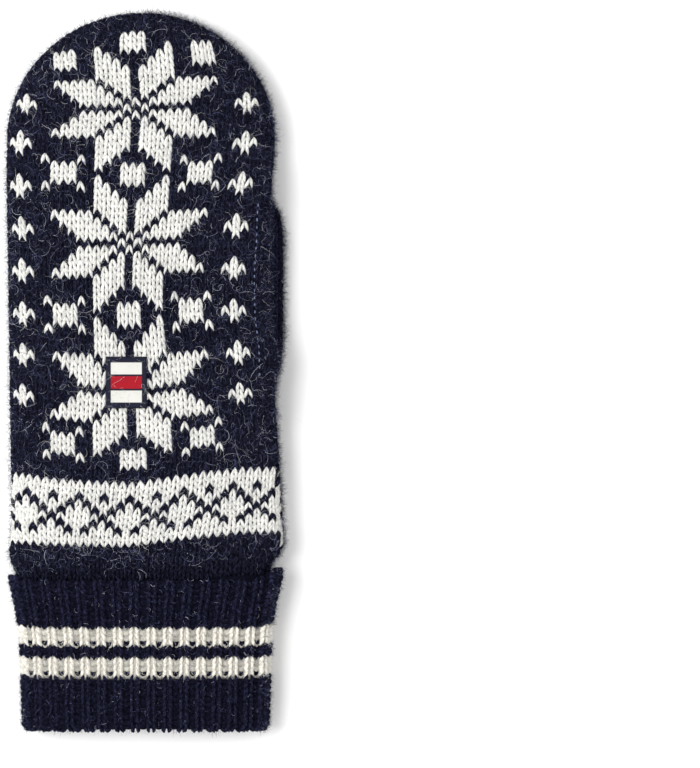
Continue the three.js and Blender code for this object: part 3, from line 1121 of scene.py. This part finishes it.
def ribWave(columns, run):
    # How deep the cloth lies between the ribs, which the fold pulls nearly flat
    fold = cuffLength - foldBend + math.pi * foldBend / 2
    flat = cuffKnit["foldFlat"] * np.exp(-(((run - fold) / cuffKnit["foldRun"]) ** 2))
    wave = form["ribDepth"] * (1 - np.cos(math.pi * columns)) / 2
    return wave[None, :] * (1 - flat)[:, None]


cuffRun = 2 * cuffLength - form["handTuck"] - cuffKnit["innerGap"]
cuffRows = int(cuffRun / knit["cuffRow"])


def cuffClothOf():
    # Columns are half ribs: even ones are knit, odd ones purl
    columns = steps(-1, 2 * ribs + 1, 0.125)
    rows = np.arange(0, cuffRun / knit["cuffRow"], 0.25)
    runs = rows * knit["cuffRow"]
    cloth = Cloth(columns, rows, cuffPoint(columns, runs), 1)
    cloth.points = cloth.points - cloth.normals * ribWave(columns, runs)[..., None]
    return cloth


cuffCloth = cuffClothOf()
stripeRows = (9, 10, 11, 14, 15, 16)

# A rib's legs stand apart like two ropes, and meet towards the free edge
ribLeg = dict(
    leg,
    width=np.array([0.08, 0.18, 0.235, 0.19, 0.06]),
    crest=np.array([-1.4, -0.3, 0.35, 0.4, -0.4]),
    low=0.74,
    high=-0.78,
    foot=0.52,
    apex=0.26,
    bow=0.0,
)
# A purl stitch's bump, in shares of a half rib and a row. height, droop, thick and changeRise are
# millimetres. shade darkens the bumps' colour as painted shade for the valleys between the ribs.
purl = {
    "across": np.array([-1.0, -0.5, 0.0, 0.5, 1.0]),
    "around": np.radians([-92, -35, 35, 92]),
    "half": 0.34,
    "middle": 0.4,
    "reach": 0.46,
    "narrowing": 0.35,
    "sag": 0.25,
    "height": -0.45,
    "droop": 0.4,
    "thick": 0.7,
    "run": 1.4,
    "uneven": 0.04,
    "shade": 0.55,
    "shadeUneven": 0.06,
    "changeRise": 0.2,
}
# At a stripe's lower edge a navy bump lies over the cream ones of every purl column
changeRows = np.array([10.75, 15.75])


def cuffColours(row):
    return coloursOf(np.isin(np.rint(row), stripeRows), "cream", "cuffNavy")


ribColumns = np.arange(0, 2 * ribs, 2)
c, r = gridOf(ribColumns, np.arange(1, cuffRows))
ribStitches = (np.zeros(len(c), int), c, r, *cuffColours(r))
legPieces("cuff_ribs", [cuffCloth], ribStitches, cuffYarn, "cuff", ribLeg)


def cuffPurls():
    # The bumps between the ribs: short arcs of yarn lying across
    c, r = gridOf(ribColumns + 1, np.concatenate([np.arange(1, cuffRows), changeRows]))
    across = purl["across"][None, :, None]
    around = purl["around"][None, None, :]
    jitter = rng.normal(0, purl["uneven"], (len(c), 1, 1))
    change = np.isin(r, changeRows)
    u = purl["half"] * across + jitter + 0 * around
    reach = purl["reach"] * np.sin(around) * (1 - purl["narrowing"] * across**2)
    v = purl["middle"] + reach - purl["sag"] * across**2 + jitter
    droop = purl["droop"] * across**2
    height = purl["height"] - droop - purl["thick"] * (1 - np.cos(around)) + 0 * u
    height = height + purl["changeRise"] * change[:, None, None]
    points = cuffCloth.at(c[:, None, None] + u, r[:, None, None] + v, height)
    points[..., 2] = np.maximum(points[..., 2], 0)
    contrast, _, colour = cuffColours(np.where(change, 0, r))
    # Painted shade: the bumps' colour is darkened to about half, for the valleys between the ribs
    shade = purl["shade"] + rng.normal(0, purl["shadeUneven"], len(c))
    paint = np.concatenate([shade[:, None] * colour, contrast[:, None]], axis=1)
    strand = strandOf(np.sin(around), across * purl["run"], u.shape)
    stripPiece("cuff_purls", points, paint, strand, cuffYarn, "cuff")


cuffPurls()


def cuffBacking():
    # A closed wall behind the ribs, once round its own section
    rise = knit["rise"]
    columns = np.arange(0, 2 * ribs, 0.5)
    runs = np.linspace(rise, cuffRun - cuffKnit["backingGap"], cuffKnit["backingRuns"])
    face = Cloth(columns, runs, cuffPoint(columns, runs), 1)
    shell = face.points - face.normals * (rise + ribWave(columns, runs))[..., None]
    back = face.points - face.normals * form["cuffWall"]
    flat = np.concatenate([shell, back[::-1]]).reshape(-1, 3)
    flat[:, 2] = np.maximum(flat[:, 2], 0)
    rings = 2 * len(runs)
    last = (rings - 1) * len(columns)
    j = np.arange(len(columns))
    k = (j + 1) % len(columns)
    closing = np.stack([last + j, last + k, k, j], axis=1)
    faces = np.concatenate([gridFaces(rings, len(columns), closed=True), closing])
    piece = meshPiece("cuff_backing", flat, faces, cuffYarn, "cuff")
    contrast, _, colour = cuffColours(np.concatenate([runs, runs[::-1]]) / knit["cuffRow"])
    # Painted shade: the backing is darker in the purl columns' valleys than behind the ribs'
    # middles
    valleyShade = cuffKnit["backingValleyShade"] * np.cos(math.pi * columns)
    paint = np.empty((rings, len(columns), 4))
    paint[..., :3] = colour[:, None] * (cuffKnit["backingShade"] + valleyShade)[:, None]
    paint[..., 3] = contrast[:, None]
    setAttribute(piece, "yarn", "FLOAT_COLOR", paint)
    setAttribute(piece, "strand", "FLOAT_VECTOR", flat)
    tidyPiece(piece)


cuffBacking()


# Label

print("label")

# border to redTo are shares of the patch, the rest are millimetres
patch = {
    "ground": "#15172a",
    "pale": "#d6d5cf",
    "red": "#a01020",
    "border": 0.13,
    "endBorder": 0.1105,
    "paleFrom": 0.16,
    "redTo": 0.115,
    "thread": 0.32,
    "thick": 1.0,
    "under": 0.1,
    "edgeDrop": 0.75,
    "edgeRun": 0.7,
    "ripple": 0.12,
}
patchGrid = (68, 84)
threadTurn = 0.31  # a wave texture turns 20 radians in a unit, so this is about one thread


def patchMaterial():
    # Damask-woven polyester ribbon: fine even ribs and a faint silky shine
    material, tree, shader = newMaterial("Woven polyester patch")
    colour = addNode(tree, "ShaderNodeAttribute", attribute_name="yarn")
    place = addNode(tree, "ShaderNodeTexCoord")
    threads = 1 / (patch["thread"] * mm)
    inputs = {"Vector": place.outputs["Object"], "Scale": (threads, threads, 1.0)}
    scale = addNode(tree, "ShaderNodeMapping", inputs)
    inputs = {"Vector": scale.outputs["Vector"], "Scale": threadTurn}
    weft = addNode(tree, "ShaderNodeTexWave", inputs, wave_type="BANDS", bands_direction="Y")
    warp = addNode(tree, "ShaderNodeTexWave", inputs, wave_type="BANDS", bands_direction="X")
    inputs = {0: weft.outputs["Fac"], 1: warp.outputs["Fac"]}
    both = addNode(tree, "ShaderNodeMath", inputs, operation="ADD")
    inputs = {"Height": both.outputs["Value"], "Strength": 0.45, "Distance": 0.00012}
    bump = addNode(tree, "ShaderNodeBump", inputs)
    base, normal = colour.outputs["Color"], bump.outputs["Normal"]
    sheen = {"Roughness": 0.6, "Specular IOR Level": 0.15}
    wire(tree, shader, {"Base Color": base, "Normal": normal, **sheen})
    return material


def patchColour(u, v):
    # u, v: shares of the patch. A plain striped field inside a navy border.
    across, along = np.abs(u - 0.5), np.abs(v - 0.5)
    inside = (across < 0.5 - patch["border"]) & (along < 0.5 - patch["endBorder"])
    colour = np.tile(hexColour(patch["ground"]), u.shape + (1,))
    colour[inside & (along > patch["paleFrom"])] = hexColour(patch["pale"])
    colour[inside & (along < patch["redTo"])] = hexColour(patch["red"])
    return colour


def buildPatch():
    # A thin slab with soft edges that follows the back of the hand
    width, length = labelHigh[0] - labelLow[0], labelHigh[1] - labelLow[1]
    centre = (labelLow + labelHigh) / 2
    across, down = patchGrid
    u, v = np.meshgrid(np.linspace(0, 1, across), np.linspace(0, 1, down))
    edge = np.minimum(np.minimum(u, 1 - u) * width, np.minimum(v, 1 - v) * length)
    drop = patch["edgeDrop"] * (1 - smooth(edge / patch["edgeRun"])) ** 2
    ripple = patch["ripple"] * np.sin(u * 9 + 1.0) * np.sin(v * 7 + 0.4)
    x, y = centre[0] + (u - 0.5) * width, centre[1] + (v - 0.5) * length
    hand = surfaceHeight(handSection, x, y, 1)
    upper = np.stack([x, y, hand + patch["thick"] - drop + ripple], axis=-1)
    lower = np.stack([x, y, hand + patch["under"]], axis=-1)
    flat = np.concatenate([upper.reshape(-1, 3), lower.reshape(-1, 3)])
    topFaces = gridFaces(down, across)
    count = across * down
    loop = np.concatenate(
        [
            np.arange(across),
            np.arange(2, down + 1) * across - 1,
            np.arange(count - 2, count - across - 1, -1),
            np.arange(count - 2 * across, 0, -across),
        ]
    )
    nextLoop = np.roll(loop, -1)
    sides = np.stack([loop, loop + count, nextLoop + count, nextLoop], axis=1)
    faces = np.concatenate([topFaces, topFaces[:, ::-1] + count, sides])
    piece = meshPiece("label_patch", flat, faces, patchMaterial(), "label")
    paint = np.concatenate([patchColour(u, v).reshape(-1, 3)] * 2)
    opaque = np.ones((len(paint), 1))
    setAttribute(piece, "yarn", "FLOAT_COLOR", np.concatenate([paint, opaque], axis=1))
    tidyPiece(piece)


buildPatch()


# Fuzz: loose fibres that stand out of the brushed wool

print("fuzz")


# Lengths and widths are millimetres. bright: the share of fibres that aren't the yarn's
# own colour. grey: the share of those that are grey and not pale.
fuzz = {
    "backCount": 19000,
    "palmCount": 4000,
    "edgeCounts": (9000, 3200),
    "cuffCount": 12500,
    "cuffSideCount": 2200,
    "thumbCount": 6000,
    "strayCount": 900,
    "root": -0.15,
    "lowest": 0.05,
    "highest": 3.5,
    "length": (2.0, 7.0),
    "edgeLength": (1.0, 3.8),
    "cuffLength": (0.9, 3.2),
    "strayLength": (5, 13),
    "width": (0.045, 0.09),
    "edgeWidth": (0.06, 0.13),
    "wander": 0.13,
    "sway": 0.5,
    "twist": 0.6,
    "thinning": 0.3,
    "bright": 0.6,
    "edgeBright": 0.12,
    "cuffBright": 0.16,
    "whiteBright": 0.1,
    "grey": 0.8,
}

# How fibres grow. rise: how steeply they leave the cloth. curl: radians along a fibre.
# hug: how far they are drawn back.
growth = {
    "lying": {"rise": (0.0, 0.7), "curl": 2.4, "hug": 0.5, "stations": 5, "width": "width"},
    "standing": {"rise": (0.4, 3.0), "curl": 2.6, "hug": 0.1, "stations": 4, "width": "edgeWidth"},
    "stray": {"rise": (0.1, 0.4), "curl": 3.6, "hug": 0.4, "stations": 10, "width": "width"},
}


def hairPaths(start, normal, length, grow):
    # Each fibre leaves the cloth, curls, and is drawn back towards it
    count, stations = len(start), grow["stations"]
    rise = rng.uniform(*grow["rise"], count)
    heading = unit(unit(rng.normal(size=(count, 3))) + normal * rise[:, None])
    turn = rng.choice([-1, 1], count)[:, None]
    spin = (normal * turn + rng.normal(size=(count, 3)) * fuzz["sway"]) * grow["curl"]
    place = start.copy()
    path = [place.copy()]
    for _ in range(stations - 1):
        wander = rng.normal(size=(count, 3)) * fuzz["wander"]
        heading = heading + np.cross(spin, heading) / stations + wander
        heading = unit(heading - normal * grow["hug"] / stations)
        place = place + heading * (length / (stations - 1))[:, None]
        place[:, 2] = np.clip(place[:, 2], fuzz["lowest"], handHeight + fuzz["highest"])
        path.append(place.copy())
    return np.stack(path, axis=1)


def fuzzPiece(name, start, normal, colours, length, grow, node):
    # Fibres as narrow ribbons that twist along their length
    count, grown = len(start), growth[grow]
    paths = hairPaths(start, normal, rng.uniform(*length, count), grown)
    width = rng.uniform(*fuzz[grown["width"]], count)
    along = unit(np.gradient(paths, axis=1))
    facing = normal[:, None] + rng.normal(size=(count, 1, 3)) * fuzz["twist"]
    side = unit(np.cross(along, facing))
    thinned = np.linspace(1, fuzz["thinning"], grown["stations"])
    reach = side * (width[:, None] * thinned / 2)[..., None]
    points = np.stack([paths - reach, paths + reach], axis=2)
    points[..., 2] = np.maximum(points[..., 2], 0.02)
    paint = np.concatenate([colours, np.ones((count, 1))], axis=1)
    stripPiece(name, points, paint, None, fuzzMaterial, node)


def makeFuzzMaterial():
    # Single wool fibres: matt, with a faint shine where their scales lie flat
    material, tree, shader = newMaterial("Loose wool fibre")
    colour = addNode(tree, "ShaderNodeAttribute", attribute_name="yarn")
    base = colour.outputs["Color"]
    wire(tree, shader, {"Base Color": base, "Roughness": 0.8, "Specular IOR Level": 0.1})
    return material


fuzzMaterial = makeFuzzMaterial()


def rootsOn(cloth, count, columns, rows):
    c = rng.uniform(*columns, count)
    r = rng.uniform(*rows, count)
    start = cloth.at(c, r, np.full(count, fuzz["root"]))
    normal = cloth.at(c, r, np.full(count, fuzz["root"] + 1)) - start
    inside = cloth.holds(c, r)
    return start[inside], normal[inside], c[inside], r[inside]


def fibreColours(white, dark, bright):
    # Most fibres take the yarn's own colour and a bright share are grey or pale
    grey = rng.uniform(size=len(white))[:, None] < fuzz["grey"]
    shade = rng.uniform(0.5, 1.1, len(white))[:, None]
    own = np.where(white[:, None], woolLinear["white"], woolLinear[dark])
    other = np.where(grey, woolLinear["hairGrey"], woolLinear["hairPale"])
    isBright = rng.uniform(size=len(white)) < np.where(white, fuzz["whiteBright"], bright)
    return np.where(isBright[:, None], other, own) * np.where(white[:, None], 1.0, shade)


def scatterFuzz(name, groups, bright, node, grow="lying", length=fuzz["length"]):
    # groups: cloth, fibre count, column range, row range, chart, dark colour
    starts, normals, colours = [], [], []
    for cloth, count, columns, rows, chart, dark in groups:
        start, normal, c, r = rootsOn(cloth, count, columns, rows)
        starts.append(start)
        normals.append(normal)
        colours.append(fibreColours(isWhite(chart, c, r), dark, bright))
    start, normal, colour = (np.concatenate(a) for a in (starts, normals, colours))
    fuzzPiece(name, start, normal, colour, length, grow, node)


allRows = (-1, 83)
backRange = (-20, 20)
edgeRange = (-0.6, 0.8)
scatterFuzz(
    "hand_back_fuzz",
    [(backCloth, fuzz["backCount"], backRange, allRows, backChart, "hairDark")],
    fuzz["bright"],
    "hand",
)
scatterFuzz(
    "hand_palm_fuzz",
    [(palmCloth, fuzz["palmCount"], backRange, allRows, palmChart, "hairDark")],
    fuzz["bright"],
    "hand",
)
scatterFuzz(
    "hand_edge_fuzz",
    [
        (cloth, count, edgeRange, (1, cloth.rows[-1]), noWhite, "hairNavy")
        for cloth, count in zip(seamCloths, fuzz["edgeCounts"])
    ],
    fuzz["edgeBright"],
    "hand",
    "standing",
    fuzz["edgeLength"],
)


def cuffChart(column, row):
    return row in stripeRows


# Over the outer face and a little way into the mouth, and once more along the two sides
cuffFuzzRows = (0.3, cuffRows * 0.55)
cuffSides = ((-1, 2.5), (ribs - 1.5, ribs + 2.5))
cuffFibres = [(fuzz["cuffCount"], (0, 2 * ribs))]
cuffFibres += [(fuzz["cuffSideCount"], side) for side in cuffSides]
scatterFuzz(
    "cuff_fuzz",
    [(cuffCloth, n, columns, cuffFuzzRows, cuffChart, "hairNavy") for n, columns in cuffFibres],
    fuzz["cuffBright"],
    "cuff",
    "standing",
    fuzz["cuffLength"],
)
scatterFuzz(
    "thumb_fuzz",
    [
        (thumbCloths[1], fuzz["thumbCount"] // 5, (-8, 8), (0, thumbRows), noWhite, "hairDark"),
        (thumbCloths[2], fuzz["thumbCount"] // 2, edgeRange, (1, thumbRows), noWhite, "hairNavy"),
        (thumbCloths[3], fuzz["thumbCount"] // 5, edgeRange, (1, thumbRows), noWhite, "hairNavy"),
    ],
    fuzz["edgeBright"],
    "thumb",
    "standing",
    fuzz["edgeLength"],
)


def strayFibres():
    # Long pale fibres that lie curled over the surface
    start, normal, c, r = rootsOn(backCloth, fuzz["strayCount"], backRange, (0, 82))
    pale = rng.uniform(size=len(start))[:, None]
    colour = mix(woolLinear["hairGrey"], woolLinear["hairPale"], pale)
    start = start + normal * 0.5
    length = fuzz["strayLength"]
    fuzzPiece("hand_strays", start, normal, colour, length, "stray", "hand")


strayFibres()


# Studio: a white floor, a soft light from the upper left and a photographer's long lens

print("studio")

# pixel: the millimetres that a pixel spans. mittenMiddle: where the mitten's middle lies in
# the picture. Other lengths are metres.
studio = {
    "pixel": 0.4006,
    "frame": (700, 768),
    "mittenMiddle": (145.0, 371.5),
    "distance": 1.5,
    "subjectHeight": 0.016,
    "keyPower": 17.5,
    "keySize": 0.8,
    "keyPlace": (-0.66, 0.12, 1.4),
    "sky": 0.86,
    "floor": "#ffffff",
    "floorHalf": 3.0,
    "sensor": 36.0,
}


def buildFloor():
    model = bmesh.new()
    bmesh.ops.create_grid(model, x_segments=1, y_segments=1, size=studio["floorHalf"])
    mesh = bpy.data.meshes.new("floor")
    model.to_mesh(mesh)
    model.free()
    floor = bpy.data.objects.new("floor", mesh)
    material, tree, shader = newMaterial("White paper")
    white = (*hexColour(studio["floor"]), 1)
    wire(tree, shader, {"Base Color": white, "Roughness": 0.9, "Specular IOR Level": 0.0})
    mesh.materials.append(material)
    bpy.context.scene.collection.objects.link(floor)
    floor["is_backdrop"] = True


def aim(thing, place, target):
    thing.location = place
    direction = Vector(target) - Vector(place)
    thing.rotation_mode = "QUATERNION"
    thing.rotation_quaternion = direction.to_track_quat("-Z", "Y")


def buildLights():
    light = bpy.data.lights.new("key", "AREA")
    light.shape = "SQUARE"
    light.size = studio["keySize"]
    light.energy = studio["keyPower"]
    lamp = bpy.data.objects.new("key", light)
    bpy.context.scene.collection.objects.link(lamp)
    aim(lamp, studio["keyPlace"], (0, 0, 0))
    world = bpy.data.worlds.new("sky")
    world.use_nodes = True
    sky = world.node_tree.nodes["Background"]
    wire(world.node_tree, sky, {"Color": (1, 1, 1, 1), "Strength": studio["sky"]})
    bpy.context.scene.world = world


def buildCamera():
    wide, tall = studio["frame"]
    x = (wide / 2 - studio["mittenMiddle"][0]) * studio["pixel"] * mm
    y = -(tall / 2 - studio["mittenMiddle"][1]) * studio["pixel"] * mm
    data = bpy.data.cameras.new("camera")
    data.sensor_width = studio["sensor"]
    data.lens = studio["sensor"] * studio["distance"] / (tall * studio["pixel"] * mm)
    data.clip_end = 20
    camera = bpy.data.objects.new("camera", data)
    bpy.context.scene.collection.objects.link(camera)
    camera.location = (x, y, studio["distance"] + studio["subjectHeight"])
    bpy.context.scene.camera = camera
    bpy.context.scene.view_settings.view_transform = "Standard"


buildFloor()
buildLights()
buildCamera()

total = 0
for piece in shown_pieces():
    count = sum(len(p.vertices) - 2 for p in piece.data.polygons)
    total += count
    print(piece.name, count)
print("triangles", total)
